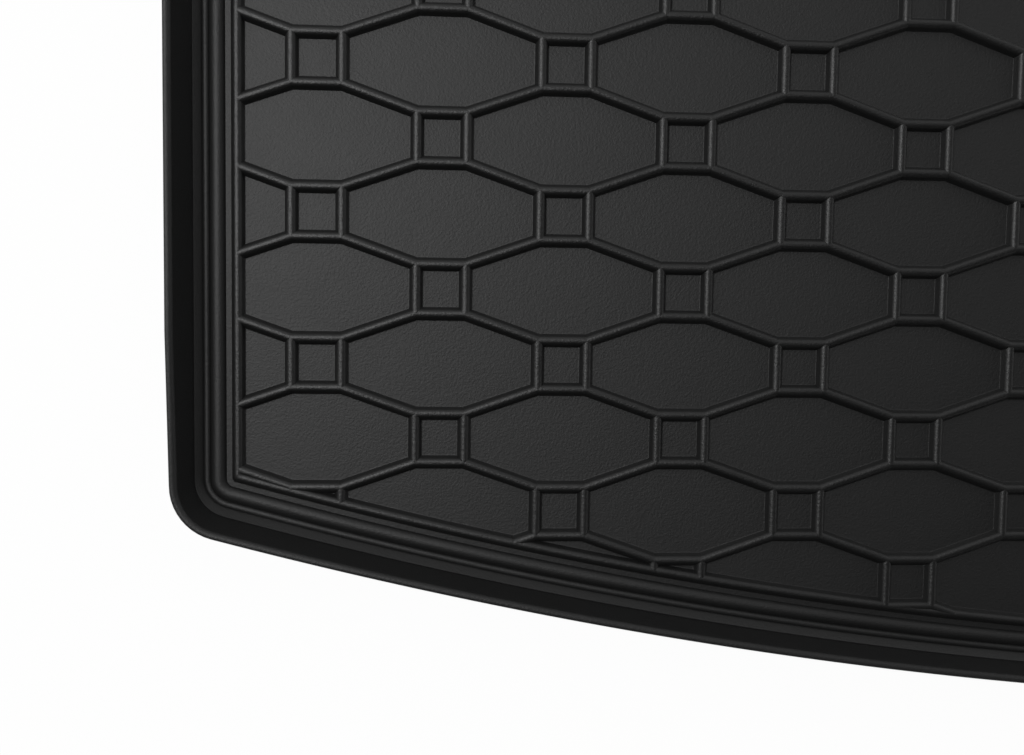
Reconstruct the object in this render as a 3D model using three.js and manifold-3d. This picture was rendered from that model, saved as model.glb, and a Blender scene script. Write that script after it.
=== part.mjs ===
// Car boot liner: one moulded sheet of soft black plastic that lies on the boot floor.
// A wall runs all round it, high at the sides and low at the loading sill. Inside the wall lie
// a ledge, a thin bead and a round bead, and the floor is ribbed in squares and long octagons.
// Units are millimetres. +Z is up, +X runs across the car and +Y points to the seats.
// The origin is under the middle of the tray, on the surface that it rests on.

import * as THREE from 'three';
import { ConvexGeometry } from 'three/addons/geometries/ConvexGeometry.js';
import { LoftGeometry } from 'three/addons/geometries/LoftGeometry.js';
import { mergeVertices } from 'three/addons/utils/BufferGeometryUtils.js';
import Module from 'manifold-3d';

const wasm = await Module();
wasm.setup();

// The floor, measured on the crest of the rib that borders it
const FLOOR_WIDTH = 977.5;
const FLOOR_DEPTH = 690;
const SILL_EDGE_RADIUS = 1850;
const SHEET = 3;

// The ribs of the floor: pitches and squares are measured from crest to crest
const PITCH_ACROSS = 46;
const PITCH_ALONG = 28;
const SQUARE_SIDE = 18.5;
const PATTERN_FROM_SILL = 220.6;
const RIB_WIDTH = 5.4;
const RIB_HEIGHT = 3;

// What lies between the border rib and the wall
const LAND_WIDTH = 1.9;
const ROUND_BEAD_WIDTH = 6.6;
const ROUND_BEAD_HEIGHT = 3;
const THIN_BEAD_WIDTH = 1.8;
const THIN_BEAD_HEIGHT = 1.1;
const LEDGE_WIDTH = 3.5;

// The wall, with heights measured from the underside
const SIDE_WALL_HEIGHT = 23;
const SILL_WALL_HEIGHT = 16.6;
const SILL_RAMP_LENGTH = 120;
const WALL_DRAFT = THREE.MathUtils.degToRad(8);
const WALL_FOOT_RADIUS = 1;
const SILL_CORNER_RADIUS = 15;
const SEAT_CORNER_RADIUS = 40;
const SHARPEST_CORNER = 1.8;

// Facets along each stretch of the outline and round each curve of the section
const SILL_SEGMENTS = 11;
const CORNER_SEGMENTS = 5;
const RAMP_SEGMENTS = 4;
const HALF_LIP_SEGMENTS = 2;
const BEAD_SEGMENTS = 5;
const FOOT_SEGMENTS = 2;
const HEEL_SEGMENTS = 3;

// How far a cutting solid stands clear of what it cuts, and how close two corners are one
const CUT_MARGIN = 1;
const CORNER_MERGE = 0.01;

const crestLevel = SHEET + RIB_HEIGHT;
const ribFoot = RIB_WIDTH / 2;
const landEnd = ribFoot + LAND_WIDTH;
const roundBeadEnd = landEnd + ROUND_BEAD_WIDTH;
const thinBeadEnd = roundBeadEnd + THIN_BEAD_WIDTH;
const wallFoot = thinBeadEnd + LEDGE_WIDTH;
const marginRun = (CUT_MARGIN * ribFoot) / RIB_HEIGHT;

// The outline is placed so that the whole tray, walls included, is centred on the origin
const seatEdge = (FLOOR_DEPTH + wallReach(SILL_WALL_HEIGHT) - wallReach(SIDE_WALL_HEIGHT)) / 2;
const sillEdge = seatEdge - FLOOR_DEPTH;
const sillArcCentre = sillEdge + SILL_EDGE_RADIUS;

/** Distance from the border rib to the outside of a wall of this height. */
function wallReach(height) {
  return wallFoot + SHEET + (height - 1.5 * SHEET) * Math.tan(WALL_DRAFT);
}

/** Radius of a corner on the loop that runs `out` outside the border rib. */
function cornerRadius(radiusAtFoot, out) {
  return Math.max(radiusAtFoot + out - wallFoot, SHARPEST_CORNER);
}

/** Evenly spaced values from `from` to `to`, ends included. */
function steps(from, to, segments) {
  return Array.from({ length: segments + 1 }, (_, k) => from + ((to - from) * k) / segments);
}

/** Right half of the loop that runs `out` outside the border rib, as points in plan from the
 *  middle of the sill to the seat edge. Every loop has the same number of points. */
function halfLoop(out) {
  const side = FLOOR_WIDTH / 2 + out;
  const sillArc = SILL_EDGE_RADIUS + out;
  const sillCorner = cornerRadius(SILL_CORNER_RADIUS, out);
  const seatCorner = cornerRadius(SEAT_CORNER_RADIUS, out);
  const reach = sillArc - sillCorner;
  const cornerX = side - sillCorner;
  const cornerTurn = Math.asin(cornerX / reach);
  const cornerY = sillArcCentre - reach * Math.cos(cornerTurn);
  const rampEnd = sillEdge + SILL_RAMP_LENGTH;
  return [
    ...steps(0, cornerTurn, SILL_SEGMENTS).map((turn) => new THREE.Vector2(
      sillArc * Math.sin(turn), sillArcCentre - sillArc * Math.cos(turn))),
    ...steps(cornerTurn, Math.PI / 2, CORNER_SEGMENTS).slice(1).map((turn) => new THREE.Vector2(
      cornerX + sillCorner * Math.sin(turn), cornerY - sillCorner * Math.cos(turn))),
    ...steps(cornerY, rampEnd, RAMP_SEGMENTS).slice(1).map((y) => new THREE.Vector2(side, y)),
    ...steps(0, Math.PI / 2, CORNER_SEGMENTS).map((turn) => new THREE.Vector2(
      side - seatCorner * (1 - Math.cos(turn)),
      seatEdge + out - seatCorner * (1 - Math.sin(turn)))),
  ];
}

/** The whole loop, anticlockwise from above. */
function loop(out) {
  const right = halfLoop(out);
  const left = right.slice(1).reverse().map((p) => new THREE.Vector2(-p.x, p.y));
  return [...right, ...left];
}

/** Height of the wall at a distance `fromSill` in front of the sill's middle. */
function wallHeight(fromSill) {
  const risen = THREE.MathUtils.clamp(fromSill / SILL_RAMP_LENGTH, 0, 1);
  return THREE.MathUtils.lerp(SILL_WALL_HEIGHT, SIDE_WALL_HEIGHT, risen);
}

/** Points on an arc of the section, as distances out of the border rib and heights. */
function arc(centre, radius, from, to, segments) {
  return steps(from, to, segments).map((angle) => ({
    out: centre.out + radius * Math.cos(angle),
    z: centre.z + radius * Math.sin(angle),
  }));
}

/** Section of the tray's edge where its wall is `height` high: from the underside round the
 *  wall and over the beads to the crest of the border rib. */
function edgeSection(height) {
  const down = -Math.PI / 2;
  const outward = -WALL_DRAFT;
  const foot = {
    out: wallFoot - WALL_FOOT_RADIUS * Math.tan(Math.PI / 4 - WALL_DRAFT / 2),
    z: SHEET + WALL_FOOT_RADIUS,
  };
  const lip = { z: height - SHEET / 2 };
  lip.out = wallFoot + SHEET / 2 + (lip.z - SHEET) * Math.tan(WALL_DRAFT);
  const beadMiddle = (landEnd + roundBeadEnd) / 2;
  const bead = steps(0, Math.PI, BEAD_SEGMENTS).map((angle) => ({
    out: beadMiddle + (ROUND_BEAD_WIDTH / 2) * Math.cos(angle),
    z: SHEET + ROUND_BEAD_HEIGHT * Math.sin(angle),
  }));
  return [
    ...arc(foot, WALL_FOOT_RADIUS + SHEET, down, outward, HEEL_SEGMENTS),
    ...arc(lip, SHEET / 2, outward, Math.PI / 2, HALF_LIP_SEGMENTS),
    ...arc(lip, SHEET / 2, Math.PI / 2, outward + Math.PI, HALF_LIP_SEGMENTS).slice(1),
    ...arc(foot, WALL_FOOT_RADIUS, outward, down, FOOT_SEGMENTS),
    { out: thinBeadEnd, z: SHEET },
    { out: thinBeadEnd - THIN_BEAD_WIDTH / 3, z: SHEET + THIN_BEAD_HEIGHT },
    { out: roundBeadEnd + THIN_BEAD_WIDTH / 3, z: SHEET + THIN_BEAD_HEIGHT },
    ...bead,
    { out: ribFoot, z: SHEET },
    { out: -marginRun, z: crestLevel + CUT_MARGIN },
  ];
}

/** A closed solid lofted up through one loop for each point of a section. `sectionAt` gives the
 *  section for a wall height, so that the height may change along the outline. */
function loftedSolid(sectionAt) {
  const sections = loop(0).map((p) => sectionAt(wallHeight(p.y - sillEdge)));
  const rings = sections[0].map((_, row) => sections.map((section, column) => {
    const { out, z } = section[row];
    const p = loop(out)[column];
    return new THREE.Vector3(p.x, p.y, z);
  }));
  return solidOf(new LoftGeometry(rings, { capStart: true, capEnd: true }));
}

/** A bare geometry in which corners that all but touch are one. A triangle that loses its width
 *  by this is left out. */
function withMergedCorners(position, index) {
  const merged = mergeVertices(
    new THREE.BufferGeometry().setAttribute('position', position).setIndex(index), CORNER_MERGE);
  const corners = Array.from(merged.index.array);
  const kept = [];
  for (let k = 0; k < corners.length; k += 3) {
    const triangle = corners.slice(k, k + 3);
    if (new Set(triangle).size === 3) kept.push(...triangle);
  }
  return merged.setIndex(kept);
}

/** The manifold solid that a closed geometry bounds. */
function solidOf(geometry) {
  const merged = withMergedCorners(geometry.attributes.position, geometry.index);
  return new wasm.Manifold(new wasm.Mesh({
    numProp: 3,
    vertProperties: new Float32Array(merged.attributes.position.array),
    triVerts: new Uint32Array(merged.index.array),
  }));
}

/** The surface of a manifold solid, without the slivers that its cuts leave. */
function geometryOf(solid) {
  const mesh = solid.asOriginal().simplify(CORNER_MERGE).getMesh();
  return withMergedCorners(
    new THREE.BufferAttribute(mesh.vertProperties, 3),
    new THREE.BufferAttribute(mesh.triVerts, 1));
}

/** Corners of a convex polygon, anticlockwise, with each side moved inwards by `inset`. */
function insetPolygon(corners, inset) {
  return corners.map((corner, k) => {
    const before = corners[(k + corners.length - 1) % corners.length];
    const after = corners[(k + 1) % corners.length];
    const a = corner.clone().sub(before).normalize();
    const b = after.clone().sub(corner).normalize();
    const inward = new THREE.Vector2(-a.y - b.y, a.x + b.x);
    return corner.clone().addScaledVector(inward, inset / (1 + a.dot(b)));
  });
}

/** Corners of the cell in a column and row of the pattern: a square where their sum is even,
 *  otherwise the long octagon that the four squares around it leave. */
function cellCorners(column, row) {
  const half = SQUARE_SIDE / 2;
  const long = PITCH_ACROSS - half;
  const short = PITCH_ALONG - half;
  const quarter = (column + row) % 2 === 0 ? [[half, half]] : [[long, half], [half, short]];
  const top = [...quarter, ...quarter.map(([x, y]) => [-x, y]).reverse()];
  const bottom = top.map(([x, y]) => [-x, -y]);
  return [...top, ...bottom].map(([x, y]) => new THREE.Vector2(
    column * PITCH_ACROSS + x, sillEdge + PATTERN_FROM_SILL + row * PITCH_ALONG + y));
}

/** The hollow that one cell leaves between its ribs. Its sides slope up to the ribs' crests, and
 *  go on above them, so that neighbouring hollows meet in a crest. */
function cellHollow(column, row) {
  const corners = cellCorners(column, row);
  const at = (inset, z) => insetPolygon(corners, inset).map((p) => new THREE.Vector3(p.x, p.y, z));
  return solidOf(new ConvexGeometry([
    ...at(ribFoot, SHEET),
    ...at(-marginRun * 2, crestLevel + CUT_MARGIN * 2),
  ]));
}

/** Every cell of the pattern that can reach the floor. */
function patternHollows() {
  const columns = Math.ceil(FLOOR_WIDTH / 2 / PITCH_ACROSS);
  const firstRow = -Math.ceil(PATTERN_FROM_SILL / PITCH_ALONG);
  const lastRow = Math.ceil((FLOOR_DEPTH - PATTERN_FROM_SILL) / PITCH_ALONG);
  const hollows = [];
  for (let column = -columns; column <= columns; column++) {
    for (let row = firstRow; row <= lastRow; row++) hollows.push(cellHollow(column, row));
  }
  return wasm.Manifold.union(hollows);
}

/** The tray: its edge and a blank floor, less the hollows between the ribs. */
function trayGeometry() {
  const blank = loftedSolid(edgeSection);
  const floorHollow = loftedSolid(() => [
    { out: -ribFoot, z: SHEET },
    { out: marginRun * 2, z: crestLevel + CUT_MARGIN * 2 },
  ]);
  const geometry = geometryOf(blank.subtract(patternHollows().intersect(floorHollow)));
  geometry.computeVertexNormals();
  return geometry;
}

const blackPlastic = new THREE.MeshStandardMaterial({ color: 0x2a2b2b, roughness: 0.55, metalness: 0 });

const tray = new THREE.Mesh(trayGeometry(), blackPlastic);
tray.name = 'liner_tray';

const bootLiner = new THREE.Group();
bootLiner.name = 'boot_liner';
bootLiner.add(tray);

export default bootLiner;
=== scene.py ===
"""Car boot liner: one moulded tray of black plastic, with its light and its camera.

Everything is in metres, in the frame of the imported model: +X runs across the car, +Y points to
the seats and +Z is up. The origin is under the middle of the tray.
"""

import logging
import math
from bisect import bisect_right
from dataclasses import dataclass, field
from enum import Enum
from itertools import pairwise
from typing import Any, Iterable, Union

import bmesh
import bpy
from mathutils import Matrix, Vector


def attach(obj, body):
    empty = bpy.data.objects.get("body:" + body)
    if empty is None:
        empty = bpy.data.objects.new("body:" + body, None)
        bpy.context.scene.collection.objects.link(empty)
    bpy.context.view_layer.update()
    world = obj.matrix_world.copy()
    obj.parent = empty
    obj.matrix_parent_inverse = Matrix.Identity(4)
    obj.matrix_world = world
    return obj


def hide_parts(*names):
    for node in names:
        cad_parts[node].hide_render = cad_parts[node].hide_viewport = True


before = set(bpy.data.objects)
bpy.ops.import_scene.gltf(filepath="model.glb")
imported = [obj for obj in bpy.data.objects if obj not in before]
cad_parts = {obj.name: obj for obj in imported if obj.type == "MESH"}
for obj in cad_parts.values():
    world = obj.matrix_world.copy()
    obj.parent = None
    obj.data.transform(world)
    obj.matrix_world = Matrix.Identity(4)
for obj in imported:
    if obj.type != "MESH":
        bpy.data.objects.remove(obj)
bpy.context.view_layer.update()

LOG = logging.getLogger("boot_liner")
MM = 0.001
MERGE_DISTANCE = 0.004 * MM
LEAST_RUN = 1e-12
UPRIGHT = math.pi / 2

Plan = tuple[float, float]
Polygon = list[Plan]
Section = list[Plan]
SocketValue = Union["Term", bpy.types.NodeSocket, float, int, tuple, Any]


# Plane geometry


def lerp(low: float, high: float, share: float) -> float:
    """The value that lies this share of the way from low to high."""
    return low + (high - low) * share


def steps(low: float, high: float, segments: int) -> list[float]:
    """Evenly spaced values from low to high, ends included."""
    return [lerp(low, high, k / segments) for k in range(segments + 1)]


def arc(centre: Plan, radius: float, start: float, end: float, segments: int) -> Section:
    """Points on a circle, from one angle to another.

    Args:
        centre: The circle's centre.
        radius: Its radius.
        start: The first angle, in radians from the first axis.
        end: The last angle.
        segments: How many chords the arc gets.

    Returns:
        The points, ends included.
    """
    return [
        (centre[0] + radius * math.cos(turn), centre[1] + radius * math.sin(turn))
        for turn in steps(start, end, segments)
    ]


def height_on(section: Section, distance: float) -> float:
    """Height of a section at a distance, on the straight line between its two nearest points.

    Args:
        section: Points of rising distance, each with its height.
        distance: Where the height is wanted.

    Returns:
        The height, which stays at the last point's beyond it.
    """
    after = bisect_right(section, (distance, math.inf))
    if after == 0:
        return section[0][1]
    if after == len(section):
        return section[-1][1]
    (near, low), (far, high) = section[after - 1], section[after]
    return lerp(low, high, (distance - near) / max(far - near, LEAST_RUN))


@dataclass(frozen=True)
class HalfPlane:
    """The side of a straight line in plan that its normal points to."""

    normal: Plan
    offset: float

    @classmethod
    def left_of(cls, start: Plan, end: Plan) -> "HalfPlane":
        """The half plane beside a line.

        Args:
            start: A point on the line.
            end: Another point, further along it.

        Returns:
            The half plane to the left of the line from start to end.
        """
        along = (end[0] - start[0], end[1] - start[1])
        length = math.hypot(*along)
        normal = (-along[1] / length, along[0] / length)
        return cls(normal, normal[0] * start[0] + normal[1] * start[1])

    def depth(self, point: Plan) -> float:
        """How far inside the line a point lies."""
        return self.normal[0] * point[0] + self.normal[1] * point[1] - self.offset

    def nearer_than(self, other: "HalfPlane") -> "HalfPlane":
        """The points that lie no deeper inside this half plane than inside the other."""
        normal = (other.normal[0] - self.normal[0], other.normal[1] - self.normal[1])
        return HalfPlane(normal, other.offset - self.offset)

    def moved_in(self, distance: float) -> "HalfPlane":
        """The half plane with its line moved inwards."""
        return HalfPlane(self.normal, self.offset + distance)

    def flipped(self) -> "HalfPlane":
        """The half plane on the line's other side."""
        return HalfPlane((-self.normal[0], -self.normal[1]), -self.offset)

    def clip(self, polygon: Polygon) -> Polygon:
        """Cuts a polygon off at the line.

        Args:
            polygon: The corners of a convex polygon.

        Returns:
            The corners of the part that lies in the half plane, or none.
        """
        kept: Polygon = []
        depths = [self.depth(point) for point in polygon]
        for k, (point, depth) in enumerate(zip(polygon, depths)):
            before, depth_before = polygon[k - 1], depths[k - 1]
            if (depth > 0) != (depth_before > 0):
                share = depth_before / (depth_before - depth)
                kept.append((lerp(before[0], point[0], share), lerp(before[1], point[1], share)))
            if depth > 0:
                kept.append(point)
        return kept


# Form of the tray


@dataclass(frozen=True)
class RibProfile:
    """Half the section of a rib, from its crest down to the floor beside it."""

    width: float = 5.15 * MM
    height: float = 3.0 * MM
    crest_width: float = 0.1 * MM
    shoulder_radius: float = 1.85 * MM
    foot_radius: float = 0.12 * MM
    shoulder_segments: int = 8
    foot_segments: int = 2
    strip: float = 0.3 * MM

    def section(self) -> Section:
        """Distances from the crest line, each with its height above the floor.

        Returns:
            The crest, the round shoulder, the straight flank and the foot, which ends in a
            narrow flat strip, so that the foot's shading doesn't spread over the floor.
        """
        half = self.width / 2
        shoulder = (self.crest_width / 2, self.height - self.shoulder_radius)
        foot = (half, self.foot_radius)
        across, down = foot[0] - shoulder[0], foot[1] - shoulder[1]
        tilt = math.asin((self.shoulder_radius + self.foot_radius) / math.hypot(across, down))
        steepest = tilt - math.atan2(down, across)
        return [
            (0.0, self.height),
            *arc(shoulder, self.shoulder_radius, UPRIGHT, UPRIGHT - steepest,
                 self.shoulder_segments),
            *arc(foot, self.foot_radius, -UPRIGHT - steepest, -UPRIGHT, self.foot_segments),
            (half + self.strip, 0.0),
        ]


@dataclass(frozen=True)
class BeadProfile:
    """Section of a bead: part of a circle that stands on the sheet."""

    width: float
    height: float
    segments: int

    def section(self, start: float, base: float) -> Section:
        """The bead's surface from its inner foot to its outer foot.

        Args:
            start: Where the bead begins, counted from the border rib's crest.
            base: Height of the sheet's top, on which it stands.

        Returns:
            Its points, both feet included.
        """
        half = self.width / 2
        radius = (half * half + self.height * self.height) / (2 * self.height)
        edge = math.acos(half / radius)
        centre = (start + half, base + self.height - radius)
        return arc(centre, radius, math.pi - edge, edge, self.segments)


@dataclass(frozen=True)
class EdgeProfile:
    """Section of the tray's edge, from the border rib's crest out over the beads and the wall.

    Distances are counted outwards from that crest. Between the thin bead and the wall the
    surface slopes up, and its slope covers the foot of the wall's inner face.
    """

    sheet: float = 3.0 * MM
    rib: RibProfile = RibProfile()
    land_width: float = 1.925 * MM
    round_bead: BeadProfile = BeadProfile(5.8 * MM, 1.9 * MM, 14)
    thin_bead: BeadProfile = BeadProfile(2.7 * MM, 0.85 * MM, 10)
    wall_gap: float = 3.5 * MM
    slope_run: float = 2.75 * MM
    slope_rise: float = 2.55 * MM
    wall_foot_radius: float = 1.0 * MM
    wall_draft: float = math.radians(8)
    lip_outer_radius: float = 1.0 * MM
    lip_inner_radius: float = 1.9 * MM
    lip_clearance: float = 0.016 * MM
    lip_inner_segments: int = 8
    lip_outer_segments: int = 5
    heel_segments: int = 6
    strip: float = 0.25 * MM

    @property
    def land_end(self) -> float:
        """Where the flat land ends and the round bead begins."""
        return self.rib.width / 2 + self.land_width

    @property
    def round_bead_end(self) -> float:
        """Where the round bead ends and the thin bead begins."""
        return self.land_end + self.round_bead.width

    @property
    def thin_bead_end(self) -> float:
        """Where the thin bead ends and the slope begins."""
        return self.round_bead_end + self.thin_bead.width

    @property
    def wall_foot(self) -> float:
        """Where the wall's inner face would come down on the sheet."""
        return self.thin_bead_end + self.wall_gap

    @property
    def slope_end(self) -> Plan:
        """Distance and height at which the slope meets the wall's inner face."""
        return self.thin_bead_end + self.slope_run, self.sheet + self.slope_rise

    def reach(self, height: float) -> float:
        """How far out a wall of this height comes, half the sheet's thickness below its top."""
        widest = height - self.sheet / 2
        return self.wall_foot + self.sheet + (widest - self.sheet) * math.tan(self.wall_draft)

    def slope(self) -> Section:
        """The slope from the thin bead to the wall, with a narrow strip beside each end.

        Returns:
            Its points after the thin bead's foot, up to the wall's inner face.
        """
        (start, low), (end, high) = (self.thin_bead_end, self.sheet), self.slope_end
        share = self.strip / (end - start)
        return [
            (lerp(start, end, part), lerp(low, high, part)) for part in (share, 1 - share, 1.0)
        ]

    def lip(self, height: float) -> Section:
        """The rounded top of the wall, from its inner face over to its outer face.

        Args:
            height: The wall's height over the underside.

        Returns:
            Its points. The first lies where the wall's inner face runs into the inner round.
        """
        draft, inside, outside = self.wall_draft, self.lip_inner_radius, self.lip_outer_radius
        rise = height - inside - self.sheet
        inner_face = self.wall_foot + rise * math.tan(draft)
        inner = (inner_face + inside / math.cos(draft), height - inside)
        outer = (self.reach(height) - self.lip_clearance - outside, height - outside)
        away = (inner[0] - self.slope_end[0], inner[1] - self.slope_end[1])
        lean = math.atan2(*away) - math.asin(inside / math.hypot(*away))
        return [
            *arc(inner, inside, math.pi - lean, UPRIGHT, self.lip_inner_segments),
            *arc(outer, outside, UPRIGHT, 0.0, self.lip_outer_segments),
            *arc(outer, outside, 0.0, -draft, 1)[1:],
        ]

    def section(self, height: float) -> Section:
        """Every point of the section where the wall is this high.

        Args:
            height: The wall's height over the underside.

        Returns:
            Distances, each with its height, from the border rib's crest to the end of the heel
            on the underside.
        """
        sheet, draft = self.sheet, self.wall_draft
        foot_run = self.wall_foot_radius * math.tan((UPRIGHT - draft) / 2)
        heel = (self.wall_foot - foot_run, sheet + self.wall_foot_radius)
        heel_radius = self.wall_foot_radius + sheet
        return [
            *((out, sheet + rise) for out, rise in self.rib.section()),
            (self.land_end - self.strip, sheet),
            *self.round_bead.section(self.land_end, sheet),
            *self.thin_bead.section(self.round_bead_end, sheet)[1:],
            *self.slope(),
            *self.lip(height),
            *arc(heel, heel_radius, -draft, -UPRIGHT, self.heel_segments),
        ]


@dataclass(frozen=True)
class LoopSegments:
    """How many chords each stretch of half a loop gets."""

    sill: int = 72
    sill_corner: int = 10
    ramp: int = 8
    side: int = 24
    seat_corner: int = 14
    seat: int = 24


@dataclass(frozen=True)
class Outline:
    """Plan of the tray. Its loops run at a distance outside the border rib's crest."""

    edge: EdgeProfile = EdgeProfile()
    floor_width: float = 977.5 * MM
    floor_depth: float = 690.0 * MM
    sill_edge_radius: float = 1850.0 * MM
    sill_corner_radius: float = 15.0 * MM
    seat_corner_radius: float = 40.0 * MM
    sharpest_corner: float = 1.8 * MM
    side_wall_height: float = 23.0 * MM
    sill_wall_height: float = 16.6 * MM
    sill_ramp_length: float = 120.0 * MM
    segments: LoopSegments = LoopSegments()

    @property
    def seat_edge(self) -> float:
        """Where the border rib runs along the seats."""
        sill_reach = self.edge.reach(self.sill_wall_height)
        return (self.floor_depth + sill_reach - self.edge.reach(self.side_wall_height)) / 2

    @property
    def sill_edge(self) -> float:
        """Where the border rib meets the centreline at the sill."""
        return self.seat_edge - self.floor_depth

    def corner_radius(self, at_wall_foot: float, out: float) -> float:
        """Radius of a corner on the loop that runs out outside the border rib."""
        return max(at_wall_foot + out - self.edge.wall_foot, self.sharpest_corner)

    def half_loop(self, out: float) -> Polygon:
        """Right half of a loop.

        Args:
            out: How far the loop runs outside the border rib's crest.

        Returns:
            Points in plan from the middle of the sill to the middle of the seat edge, as many
            for every loop.
        """
        side = self.floor_width / 2 + out
        sill_radius = self.sill_edge_radius + out
        sill_corner = self.corner_radius(self.sill_corner_radius, out)
        seat_corner = self.corner_radius(self.seat_corner_radius, out)
        centre = (0.0, self.sill_edge + self.sill_edge_radius)
        turn = math.asin((side - sill_corner) / (sill_radius - sill_corner))
        sill_end = turn - UPRIGHT
        corner = (
            side - sill_corner,
            centre[1] - (sill_radius - sill_corner) * math.cos(turn),
        )
        ramp_end = self.sill_edge + self.sill_ramp_length
        seat = (side - seat_corner, self.seat_edge + out - seat_corner)
        count = self.segments
        runs = [
            arc(centre, sill_radius, -UPRIGHT, sill_end, count.sill),
            arc(corner, sill_corner, sill_end, 0.0, count.sill_corner),
            [(side, y) for y in steps(corner[1], ramp_end, count.ramp)],
            [(side, y) for y in steps(ramp_end, seat[1], count.side)],
            arc(seat, seat_corner, 0.0, UPRIGHT, count.seat_corner),
            [(x, self.seat_edge + out) for x in steps(seat[0], 0.0, count.seat)],
        ]
        return [*(point for run in runs for point in run[:-1]), runs[-1][-1]]

    def loop(self, out: float) -> Polygon:
        """The whole loop, anticlockwise from above."""
        right = self.half_loop(out)
        return [*right, *((-x, y) for x, y in reversed(right[1:-1]))]

    def wall_height(self, y: float) -> float:
        """Height of the wall's top over the underside at a place along the car."""
        risen = (y - self.sill_edge) / self.sill_ramp_length
        return lerp(self.sill_wall_height, self.side_wall_height, min(max(risen, 0.0), 1.0))


# Meshes


@dataclass
class MeshDraft:
    """Corners and faces of a mesh while it is made, in metres."""

    corners: list[Vector] = field(default_factory=list)
    faces: list[list[int]] = field(default_factory=list)
    mitres: set[frozenset[int]] = field(default_factory=set)

    def add_corner(self, x: float, y: float, z: float) -> int:
        """Adds a corner and returns its number."""
        self.corners.append(Vector((x, y, z)))
        return len(self.corners) - 1

    def object(self, name: str) -> bpy.types.Object:
        """A linked object with the draft's smooth mesh.

        Args:
            name: The name of the object and its mesh.

        Returns:
            The new object, whose mitre edges are sharp.
        """
        mesh = bpy.data.meshes.new(name)
        mesh.from_pydata(self.corners, [], self.faces)
        mesh.shade_smooth()
        sharp = mesh.attributes.new("sharp_edge", "BOOLEAN", "EDGE")
        pairs = (frozenset(edge.vertices) in self.mitres for edge in mesh.edges)
        sharp.data.foreach_set("value", list(pairs))
        return linked_object(name, mesh)


def linked_object(name: str, mesh: bpy.types.Mesh) -> bpy.types.Object:
    """Shows a mesh in the scene.

    Args:
        name: The new object's name.
        mesh: The mesh that it shows.

    Returns:
        The new object.
    """
    made = bpy.data.objects.new(name, mesh)
    bpy.context.scene.collection.objects.link(made)
    return made


def remove_helpers(objects: Iterable[bpy.types.Object]) -> None:
    """Takes helper objects and their meshes out of the file.

    Args:
        objects: Mesh objects that nothing needs any more.
    """
    for helper in objects:
        mesh = helper.data
        bpy.data.objects.remove(helper)
        bpy.data.meshes.remove(mesh)


# Node trees


class Term:
    """A socket that node maths is written with."""

    def __init__(self, builder: "NodeBuilder", socket: bpy.types.NodeSocket) -> None:
        """Wraps a socket of the builder's tree."""
        self.builder = builder
        self.socket = socket

    def _math(self, operation: str, *values: SocketValue) -> "Term":
        """A Math node on these values."""
        return self.builder.node(
            self.builder.math_node, {"operation": operation}, dict(enumerate(values)))

    def __add__(self, other: SocketValue) -> "Term":
        """self + other"""
        return self._math("ADD", self, other)

    __radd__ = __add__

    def __sub__(self, other: SocketValue) -> "Term":
        """self - other"""
        return self._math("SUBTRACT", self, other)

    def __rsub__(self, other: SocketValue) -> "Term":
        """other - self"""
        return self._math("SUBTRACT", other, self)

    def __mul__(self, other: SocketValue) -> "Term":
        """self * other"""
        return self._math("MULTIPLY", self, other)

    __rmul__ = __mul__

    def __truediv__(self, other: SocketValue) -> "Term":
        """self / other"""
        return self._math("DIVIDE", self, other)

    def __mod__(self, other: SocketValue) -> "Term":
        """self modulo other, never negative"""
        return self._math("FLOORED_MODULO", self, other)

    def above(self, limit: SocketValue) -> "Term":
        """1 where self is greater than the limit, otherwise 0"""
        return self._math("GREATER_THAN", self, limit)

    def largest(self, other: SocketValue) -> "Term":
        """The greater of self and other"""
        return self._math("MAXIMUM", self, other)


class NodeBuilder:
    """Adds nodes to a tree and links them."""

    math_node = "ShaderNodeMath"

    def __init__(self, tree: bpy.types.NodeTree) -> None:
        """Starts on an empty tree."""
        self.tree = tree
        tree.nodes.clear()

    def node(
        self,
        kind: str,
        settings: dict[str, Any] | None = None,
        sockets: dict[str | int, SocketValue] | None = None,
        output: str | int = 0,
    ) -> Term:
        """Adds one node.

        Args:
            kind: The node's type.
            settings: Values of the node's own options, which are set first.
            sockets: A value or a link for each input socket, by name or number.
            output: The output socket that is wanted.

        Returns:
            That output socket.
        """
        made = self.tree.nodes.new(kind)
        for name, value in (settings or {}).items():
            setattr(made, name, value)
        for name, value in (sockets or {}).items():
            self._feed(made.inputs[name], value)
        return Term(self, made.outputs[output]) if len(made.outputs) else Term(self, None)

    def _feed(self, socket: bpy.types.NodeSocket, value: SocketValue) -> None:
        """Links a socket or sets its value.

        Args:
            socket: The input socket.
            value: A term to link, several terms for a socket that takes many links, or a value.
        """
        if isinstance(value, (list, tuple)) and value and isinstance(value[0], Term):
            for term in value:
                self.tree.links.new(term.socket, socket)
        elif isinstance(value, Term):
            self.tree.links.new(value.socket, socket)
        else:
            socket.default_value = value


# Ribbed floor


class CellKind(Enum):
    """The two kinds of cell, each named as its input of the node tree."""

    SQUARE = "Square"
    OCTAGON = "Octagon"

    @classmethod
    def at(cls, column: int, row: int) -> "CellKind":
        """The kind of the cell in a column and row: a square where their sum is even."""
        return cls.SQUARE if (column + row) % 2 == 0 else cls.OCTAGON


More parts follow.
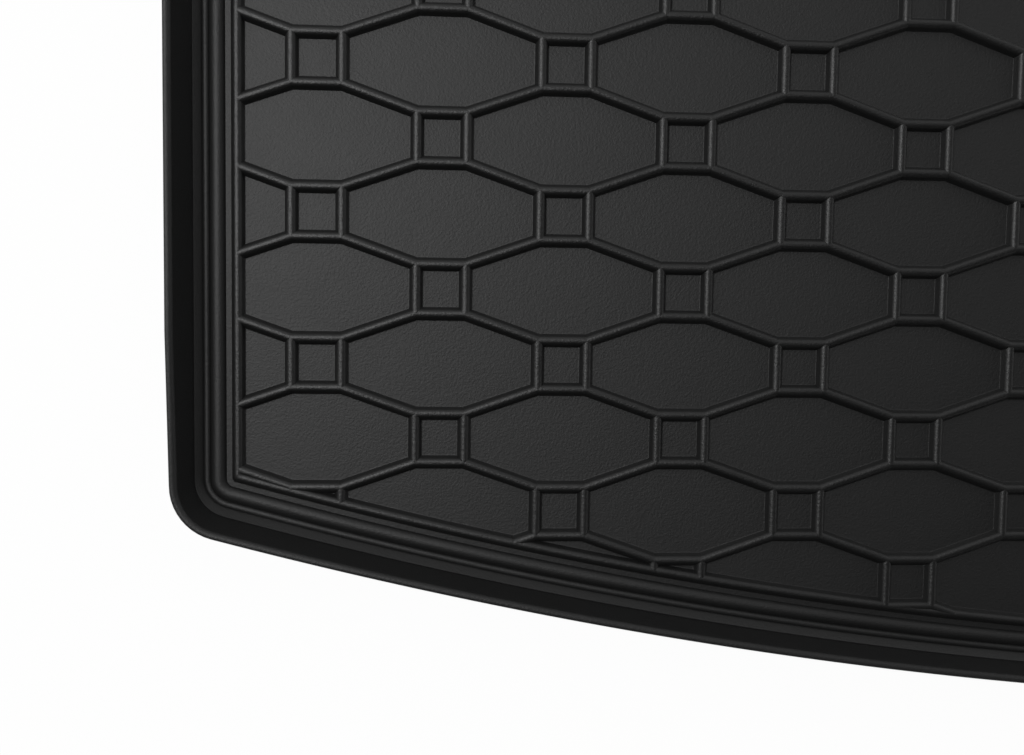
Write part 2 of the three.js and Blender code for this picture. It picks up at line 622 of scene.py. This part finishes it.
@dataclass(frozen=True)
class Cell:
    """One flat of the floor between its ribs, as a convex polygon on the ribs' crest lines."""

    polygon: Polygon
    sharpest_smooth_turn: float = math.radians(12)

    def draft(self, into: MeshDraft, rib: RibProfile, level: float) -> None:
        """Adds the cell's flat and the half ribs around it to a draft.

        Args:
            into: The draft that gets the faces.
            rib: The ribs' section.
            level: Height of the flat.
        """
        section = rib.section()
        sides = [
            HalfPlane.left_of(start, end)
            for start, end in zip(self.polygon, [*self.polygon[1:], self.polygon[0]])
        ]
        numbers: dict[tuple[int, int], int] = {}
        owners: dict[frozenset[int], HalfPlane] = {}

        def corner(point: Plan) -> int:
            """Adds the draft's corner over a point, unless it is there already.

            Args:
                point: The corner's place in plan.

            Returns:
                The corner's number.
            """
            key = (round(point[0] / MERGE_DISTANCE), round(point[1] / MERGE_DISTANCE))
            if key not in numbers:
                depth = max(min(side.depth(point) for side in sides), 0.0)
                numbers[key] = into.add_corner(*point, level + height_on(section, depth))
            return numbers[key]

        def face(polygon: Polygon, side: HalfPlane | None) -> None:
            """Adds one face, and a sharp mitre where it meets a face of another side.

            Args:
                polygon: The face's corners in plan.
                side: The cell's side whose rib the face is on, or None on the flat.
            """
            loop = list(dict.fromkeys(corner(point) for point in polygon))
            if len(loop) < 3:
                return
            into.faces.append(loop)
            if side is None:
                return
            for pair in map(frozenset, zip(loop, [*loop[1:], loop[0]])):
                other = owners.setdefault(pair, side)
                turn = other.normal[0] * side.normal[0] + other.normal[1] * side.normal[1]
                if turn < math.cos(self.sharpest_smooth_turn):
                    into.mitres.add(pair)

        distances = [distance for distance, _ in section]
        for side in sides:
            region = self.polygon
            for other in sides:
                if other is not side:
                    region = side.nearer_than(other).clip(region)
            for near, far in pairwise(distances):
                face(side.moved_in(far).flipped().clip(side.moved_in(near).clip(region)), side)
        flat = self.polygon
        for side in sides:
            flat = side.moved_in(distances[-1]).clip(flat)
        face(flat, None)


@dataclass
class RibbedFloor:
    """Floor ribbed in squares and, between them, long octagons."""

    outline: Outline = Outline()
    pitch_across: float = 46.0 * MM
    pitch_along: float = 28.0 * MM
    square_side: float = 18.5 * MM
    pattern_from_sill: float = 220.6 * MM

    @property
    def first_row(self) -> float:
        """Where the pattern's row 0 lies."""
        return self.outline.sill_edge + self.pattern_from_sill

    def cell(self, kind: CellKind) -> Polygon:
        """The outline of a cell.

        Args:
            kind: Which of the two kinds it is.

        Returns:
            Its corners about its own middle, anticlockwise from above.
        """
        half = self.square_side / 2
        long, short = self.pitch_across - half, self.pitch_along - half
        quarter = [(half, half)] if kind is CellKind.SQUARE else [(long, half), (half, short)]
        top = [*quarter, *((-x, y) for x, y in reversed(quarter))]
        return [*top, *((-x, -y) for x, y in top)]

    def places(self) -> list[tuple[int, int]]:
        """Every cell that can reach the floor.

        Returns:
            Each cell's column from the centreline and its row towards the seats.
        """
        columns = math.ceil(self.outline.floor_width / 2 / self.pitch_across)
        first = -math.ceil(self.pattern_from_sill / self.pitch_along)
        ahead = self.outline.floor_depth - self.pattern_from_sill
        last = math.ceil(ahead / self.pitch_along)
        return [
            (column, row)
            for column in range(-columns, columns + 1)
            for row in range(first, last + 1)
        ]

    def cut_cells(
        self, border: Polygon, draft: MeshDraft
    ) -> tuple[list[tuple[int, int]], list[Plan]]:
        """Adds the cells that the border rib cuts to a draft.

        Args:
            border: The border rib's crest line.
            draft: The draft that gets their faces.

        Returns:
            The places of the cells that are left whole, and every corner of the cut ones.
        """
        limits = [HalfPlane.left_of(a, b) for a, b in zip(border, [*border[1:], border[0]])]
        whole: list[tuple[int, int]] = []
        corners: list[Plan] = []
        for column, row in self.places():
            middle = (column * self.pitch_across, self.first_row + row * self.pitch_along)
            kind = CellKind.at(column, row)
            polygon = [(middle[0] + x, middle[1] + y) for x, y in self.cell(kind)]
            crossed = [
                limit for limit in limits if min(limit.depth(point) for point in polygon) < 0
            ]
            if not crossed:
                whole.append((column, row))
                continue
            for limit in crossed:
                polygon = limit.clip(polygon)
            polygon = without_doubles(polygon)
            if len(polygon) > 2:
                Cell(polygon).draft(draft, self.outline.edge.rib, self.outline.edge.sheet)
                corners.extend(polygon)
        return whole, corners


def without_doubles(polygon: Polygon) -> Polygon:
    """A polygon without corners that all but touch the one before."""
    return [
        point for k, point in enumerate(polygon)
        if math.dist(point, polygon[k - 1]) > MERGE_DISTANCE
    ]


@dataclass
class CellPattern:
    """Geometry Nodes that set whole cells down on their places in the pattern."""

    floor: RibbedFloor
    finish: bpy.types.Material

    def tree(self) -> bpy.types.NodeTree:
        """The node tree.

        Returns:
            A tree whose inputs are the base mesh, one cell of each kind, the places, the two
            pitches, the first row and the finish.
        """
        tree = bpy.data.node_groups.new("cell_pattern", "GeometryNodeTree")
        inputs = {
            "Base": "NodeSocketGeometry",
            **{kind.value: "NodeSocketObject" for kind in CellKind},
            "Places": "NodeSocketObject",
            "Pitch Across": "NodeSocketFloat",
            "Pitch Along": "NodeSocketFloat",
            "First Row": "NodeSocketFloat",
            "Finish": "NodeSocketMaterial",
        }
        for name, kind in inputs.items():
            tree.interface.new_socket(name, in_out="INPUT", socket_type=kind)
        tree.interface.new_socket("Tray", in_out="OUTPUT", socket_type="NodeSocketGeometry")
        nodes = NodeBuilder(tree)
        group = nodes.node("NodeGroupInput").socket.node
        given = {name: Term(nodes, group.outputs[name]) for name in inputs}

        def number(name: str) -> Term:
            """A whole number that each place carries."""
            return nodes.node(
                "GeometryNodeInputNamedAttribute", {"data_type": "INT"}, {"Name": name},
                "Attribute")

        def shape(name: str) -> Term:
            """The mesh of an object among the inputs."""
            return nodes.node("GeometryNodeObjectInfo", {}, {"Object": given[name]}, "Geometry")

        column, row = number("column"), number("row")
        position = nodes.node("ShaderNodeCombineXYZ", {}, {
            "X": column * given["Pitch Across"],
            "Y": row * given["Pitch Along"] + given["First Row"],
        })
        points = nodes.node(
            "GeometryNodeSetPosition", {}, {"Geometry": shape("Places"), "Position": position})
        odd = ((column + row) % 2.0).above(0.5)
        copies = [
            nodes.node("GeometryNodeInstanceOnPoints", {}, {
                "Points": points, "Instance": shape(kind.value), "Selection": chosen})
            for kind, chosen in ((CellKind.SQUARE, 1 - odd), (CellKind.OCTAGON, odd))
        ]
        joined = nodes.node("GeometryNodeJoinGeometry", {}, {0: [given["Base"], *copies]})
        real = nodes.node("GeometryNodeRealizeInstances", {}, {"Geometry": joined})
        dressed = nodes.node("GeometryNodeSetMaterial", {}, {
            "Geometry": real, "Material": given["Finish"]})
        nodes.node("NodeGroupOutput", {}, {"Tray": dressed})
        return tree

    def apply(self, base: bpy.types.Object, whole: list[tuple[int, int]]) -> None:
        """Adds the whole cells to an object's mesh.

        Args:
            base: The object, whose mesh holds the edge and the cut cells.
            whole: Column and row of each whole cell.
        """
        rib, level = self.floor.outline.edge.rib, self.floor.outline.edge.sheet
        cells = {}
        for kind in CellKind:
            draft = MeshDraft()
            Cell(self.floor.cell(kind)).draft(draft, rib, level)
            cells[kind.value] = draft.object(kind.value)
        points = bpy.data.meshes.new("Places")
        points.from_pydata([(0.0, 0.0, 0.0)] * len(whole), [], [])
        for name, numbers in zip(("column", "row"), zip(*whole)):
            points.attributes.new(name, "INT", "POINT").data.foreach_set("value", numbers)
        places = linked_object("Places", points)
        values = {
            **cells,
            "Places": places,
            "Pitch Across": self.floor.pitch_across,
            "Pitch Along": self.floor.pitch_along,
            "First Row": self.floor.first_row,
            "Finish": self.finish,
        }
        modifier = base.modifiers.new("cell_pattern", "NODES")
        tree = self.tree()
        modifier.node_group = tree
        for item in tree.interface.items_tree:
            if item.in_out == "INPUT" and item.name in values:
                modifier[item.identifier] = values[item.name]
        evaluated = base.evaluated_get(bpy.context.evaluated_depsgraph_get())
        plain = bpy.data.meshes.new_from_object(evaluated)
        base.modifiers.clear()
        bare = base.data
        base.data = plain
        bpy.data.meshes.remove(bare)
        bpy.data.node_groups.remove(tree)
        remove_helpers([*cells.values(), places])


# Tray


@dataclass
class TrayEdge:
    """The border rib's outer half, the beads, the wall and the underside."""

    outline: Outline = Outline()
    sharpest_smooth_turn: float = math.radians(30)
    line_tolerance: float = MERGE_DISTANCE / 4

    def draft(self, into: MeshDraft, border: Polygon, crossings: list[Plan]) -> None:
        """Adds the edge and the underside to a draft.

        Args:
            into: The draft that gets the faces.
            border: The border rib's crest line.
            crossings: Corners of the cut cells, those on the crest line among them.
        """
        sections = [
            self.outline.edge.section(self.outline.wall_height(point[1])) for point in border
        ]
        rings = []
        for row in range(len(sections[0])):
            loops: dict[float, Polygon] = {}
            ring = []
            for column, section in enumerate(sections):
                out, z = section[row]
                if out not in loops:
                    loops[out] = self.outline.loop(out)
                ring.append(into.add_corner(*loops[out][column], z))
            rings.append(ring)
        for row in self.corner_rows(sections[0]):
            ring = rings[row]
            into.mitres.update(map(frozenset, zip(ring, [*ring[1:], ring[0]])))
        between = self.crossings_by_segment(border, crossings)
        crest = into.corners[rings[0][0]].z
        for (row, inner), outer in zip(enumerate(rings), rings[1:]):
            for k in range(len(inner)):
                after = (k + 1) % len(inner)
                extra = []
                if row == 0:
                    extra = [into.add_corner(*point, crest) for point in reversed(between[k])]
                into.faces.append([inner[k], outer[k], outer[after], inner[after], *extra])
        into.faces.append(list(reversed(rings[-1])))

    def corner_rows(self, section: Section) -> list[int]:
        """Finds the points where the section turns too sharply to look smooth.

        Args:
            section: The section's points.

        Returns:
            The numbers of the points that it finds.
        """
        legs = [math.atan2(b[1] - a[1], b[0] - a[0]) for a, b in pairwise(section)]
        return [
            k for k, (before, after) in enumerate(pairwise(legs), 1)
            if math.cos(after - before) < math.cos(self.sharpest_smooth_turn)
        ]

    def crossings_by_segment(
        self, border: Polygon, crossings: list[Plan]
    ) -> list[list[Plan]]:
        """Sorts the points that lie on the border rib's crest line.

        Args:
            border: The crest line's corners.
            crossings: Points, on the line or off it.

        Returns:
            For each stretch between two corners, the points between them, in order.
        """
        sorted_points: list[list[Plan]] = []
        for start, end in zip(border, [*border[1:], border[0]]):
            line = HalfPlane.left_of(start, end)
            length = math.dist(start, end)
            along = ((end[0] - start[0]) / length, (end[1] - start[1]) / length)
            found: dict[int, tuple[float, Plan]] = {}
            for point in crossings:
                if abs(line.depth(point)) > self.line_tolerance:
                    continue
                run = (point[0] - start[0]) * along[0] + (point[1] - start[1]) * along[1]
                if MERGE_DISTANCE < run < length - MERGE_DISTANCE:
                    found[round(run / MERGE_DISTANCE)] = (run, point)
            sorted_points.append([point for _, point in sorted(found.values())])
        return sorted_points


@dataclass
class MouldedTray:
    """The whole liner, which is one moulding."""

    finish: bpy.types.Material
    outline: Outline = Outline()
    name: str = "liner_moulding"

    def build(self) -> bpy.types.Object:
        """Makes the tray's closed mesh.

        Returns:
            The object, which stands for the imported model's node.
        """
        border = self.outline.loop(0.0)
        floor = RibbedFloor(self.outline)
        draft = MeshDraft()
        whole, corners = floor.cut_cells(border, draft)
        TrayEdge(self.outline).draft(draft, border, corners)
        tray = draft.object(self.name)
        CellPattern(floor, self.finish).apply(tray, whole)
        self.close(tray.data)
        LOG.info("%s: %d whole cells, %d faces", self.name, len(whole), len(tray.data.polygons))
        return tray

    def close(self, mesh: bpy.types.Mesh) -> None:
        """Joins the parts of the mesh along the ribs' crests.

        Args:
            mesh: The tray's mesh, which is closed afterwards.
        """
        work = bmesh.new()
        work.from_mesh(mesh)
        bmesh.ops.remove_doubles(work, verts=work.verts, dist=MERGE_DISTANCE)
        self.match_corners(work)
        bmesh.ops.remove_doubles(work, verts=work.verts, dist=MERGE_DISTANCE)
        open_edges = sum(1 for edge in work.edges if len(edge.link_faces) != 2)
        LOG.info("%s: %d open edges", self.name, open_edges)
        work.to_mesh(mesh)
        work.free()

    def match_corners(self, work: bmesh.types.BMesh) -> None:
        """Gives open edges a corner wherever the part beside them has one.

        Args:
            work: The mesh, open only along the border rib's crest.
        """
        rim = [edge for edge in work.edges if edge.is_boundary]
        corners = {corner for edge in rim for corner in edge.verts}
        for edge in rim:
            start, end = edge.verts
            along = end.co - start.co
            shares = []
            for corner in corners:
                away = corner.co - start.co
                share = away.dot(along) / along.length_squared
                beside = (away - along * share).length
                margin = MERGE_DISTANCE / along.length
                if beside < MERGE_DISTANCE and margin < share < 1 - margin:
                    shares.append(share)
            left = 1.0
            for share in sorted(shares, reverse=True):
                _, added = bmesh.utils.edge_split(edge, start, share / left)
                edge = next(link for link in added.link_edges if start in link.verts)
                left = share

    def place(self) -> bpy.types.Object:
        """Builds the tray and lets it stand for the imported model's node.

        Returns:
            The tray's object.
        """
        tray = self.build()
        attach(tray, "root")
        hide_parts("liner_tray")
        return tray


# Finishes


@dataclass(frozen=True)
class GrainedPlastic:
    """Satin black plastic with a fine grain, smoother on the ribs' crests."""

    colour: tuple[float, float, float] = (0.0045, 0.0046, 0.0046)
    roughness: float = 0.55
    crest_roughness: float = 0.44
    crest_level: float = 6.2 * MM
    crest_reach: float = 1.0 * MM
    grain_size: float = 0.9 * MM
    grain_depth: float = 0.17 * MM
    grain_detail: tuple[float, float] = (3.0, 0.7)
    mottle_size: float = 1 / 60
    mottle_detail: tuple[float, float] = (3.0, 0.6)
    mottle_strength: float = 0.04

    def material(self) -> bpy.types.Material:
        """Makes the finish.

        Returns:
            Its material, with its noise on Object coordinates.
        """
        material = bpy.data.materials.new("grained_black_plastic")
        material.use_nodes = True
        nodes = NodeBuilder(material.node_tree)
        place = nodes.node("ShaderNodeTexCoord", {}, {}, "Object")

        def noise(size: float, detail: tuple[float, float]) -> Term:
            """Fine irregular shading of this size, with its detail's octaves and strength."""
            return nodes.node("ShaderNodeTexNoise", {"noise_dimensions": "3D"}, {
                "Vector": place, "Scale": 1 / size, "Detail": detail[0],
                "Roughness": detail[1]}, "Fac")

        grain = noise(self.grain_size, self.grain_detail)
        mottle = noise(self.mottle_size, self.mottle_detail)
        height = nodes.node("ShaderNodeSeparateXYZ", {}, {0: place}, "Z")
        off_crest = (height - self.crest_level) / self.crest_reach
        worn = (1 - off_crest * off_crest).largest(0.0)
        base = self.roughness + (self.crest_roughness - self.roughness) * worn
        bump = nodes.node("ShaderNodeBump", {}, {
            "Strength": 1.0, "Distance": self.grain_depth, "Height": grain})
        shader = nodes.node("ShaderNodeBsdfPrincipled", {}, {
            "Base Color": (*self.colour, 1.0),
            "Roughness": base + (mottle - 0.5) * self.mottle_strength,
            "Normal": bump,
        })
        nodes.node("ShaderNodeOutputMaterial", {}, {"Surface": shader})
        return material


@dataclass(frozen=True)
class PaleGround:
    """White ground that keeps a soft shadow."""

    colour: tuple[float, float, float] = (0.95, 0.95, 0.95)
    own_light: float = 0.95

    def material(self) -> bpy.types.Material:
        """Makes the finish.

        Returns:
            Its material, which glows by itself only for rays that show it.
        """
        material = bpy.data.materials.new("pale_ground")
        material.use_nodes = True
        nodes = NodeBuilder(material.node_tree)
        path = nodes.node("ShaderNodeLightPath").socket.node
        seen = (
            Term(nodes, path.outputs["Is Camera Ray"])
            .largest(Term(nodes, path.outputs["Is Glossy Ray"]))
            .largest(Term(nodes, path.outputs["Is Transmission Ray"]))
        )
        matt = nodes.node("ShaderNodeBsdfDiffuse", {}, {"Color": (*self.colour, 1.0)})
        glow = nodes.node("ShaderNodeEmission", {}, {"Strength": 1.0})
        shown = nodes.node("ShaderNodeMixShader", {}, {
            0: seen * self.own_light, 1: matt, 2: glow})
        nodes.node("ShaderNodeOutputMaterial", {}, {"Surface": shown})
        return material


# Studio


@dataclass(frozen=True)
class SoftBox:
    """A square studio lamp that faces a point on the tray."""

    name: str
    place: tuple[float, float, float]
    aim: tuple[float, float, float]
    size: float
    power: float

    def build(self) -> None:
        """Hangs the lamp."""
        lamp = bpy.data.lights.new(self.name, "AREA")
        lamp.shape = "SQUARE"
        lamp.size = self.size
        lamp.energy = self.power
        hung = bpy.data.objects.new(self.name, lamp)
        hung.location = self.place
        facing = Vector(self.aim) - Vector(self.place)
        hung.rotation_euler = facing.to_track_quat("-Z", "Y").to_euler()
        bpy.context.scene.collection.objects.link(hung)


@dataclass(frozen=True)
class Studio:
    """Pale ground, a plain sky and two soft lamps to the left of the tray.

    The sky is bright ahead, over the seats, and glows along the horizon on both sides, most of
    all on the right.
    """

    low_ahead: float = 0.55
    high_ahead: float = 0.95
    low_beside: float = 1.25
    beside_lean: float = 1.0
    ground_size: float = 6.0
    ground_drop: float = 0.5 * MM
    lamps: tuple[SoftBox, ...] = (
        SoftBox("key_softbox", (-0.98, 0.08, 1.5), (-0.6, 0.1, 0.0), 0.5, 17.0),
        SoftBox("side_softbox", (-1.9, 0.15, 1.0), (-0.6, 0.1, 0.0), 0.5, 3.0),
    )

    def build(self) -> None:
        """Sets up ground, sky and lamps."""
        half = self.ground_size / 2
        draft = MeshDraft()
        corners = [
            draft.add_corner(x * half, y * half, -self.ground_drop)
            for x, y in ((-1, -1), (1, -1), (1, 1), (-1, 1))
        ]
        draft.faces.append(corners)
        ground = draft.object("ground")
        ground.data.materials.append(PaleGround().material())
        world = bpy.data.worlds.new("plain_sky")
        world.use_nodes = True
        nodes = NodeBuilder(world.node_tree)
        toward = nodes.node("ShaderNodeTexCoord", {}, {}, "Generated")
        axes = nodes.node("ShaderNodeSeparateXYZ", {}, {0: toward}).socket.node.outputs
        across, ahead, up = (Term(nodes, axes[name]) for name in ("X", "Y", "Z"))
        under_zenith = 1 - up
        near_horizon = under_zenith * under_zenith * under_zenith
        beside = across * across * (across * self.beside_lean + self.low_beside)
        in_front = ahead.largest(0.0) * (up * self.high_ahead + self.low_ahead)
        sky = nodes.node("ShaderNodeBackground", {}, {
            "Strength": beside * near_horizon + in_front})
        nodes.node("ShaderNodeOutputWorld", {}, {"Surface": sky})
        bpy.context.scene.world = world
        for lamp in self.lamps:
            lamp.build()
        bpy.context.scene.view_settings.view_transform = "Standard"


@dataclass(frozen=True)
class Viewpoint:
    """Camera over the rear left corner of the tray, looking down."""

    place: tuple[float, float, float] = (-0.41235, -0.21682, 0.39546)
    right: tuple[float, float, float] = (0.997846, 0.013483, 0.064194)
    up: tuple[float, float, float] = (-0.009359, 0.997898, -0.064118)
    lens: float = 36.566
    sensor_width: float = 36.0

    def build(self) -> None:
        """Sets the camera up and makes it the scene's."""
        camera = bpy.data.cameras.new("overhead_camera")
        camera.lens = self.lens
        camera.sensor_width = self.sensor_width
        right, up = Vector(self.right), Vector(self.up)
        turned = Matrix((right, up, right.cross(up))).transposed().to_4x4()
        stand = bpy.data.objects.new("overhead_camera", camera)
        stand.matrix_world = Matrix.Translation(self.place) @ turned
        bpy.context.scene.collection.objects.link(stand)
        bpy.context.scene.camera = stand


def main() -> None:
    """Builds the tray, the studio and the camera."""
    logging.basicConfig(level=logging.INFO, format="%(name)s: %(message)s")
    Viewpoint().build()
    Studio().build()
    MouldedTray(GrainedPlastic().material()).place()


if __name__ == "__main__":
    main()
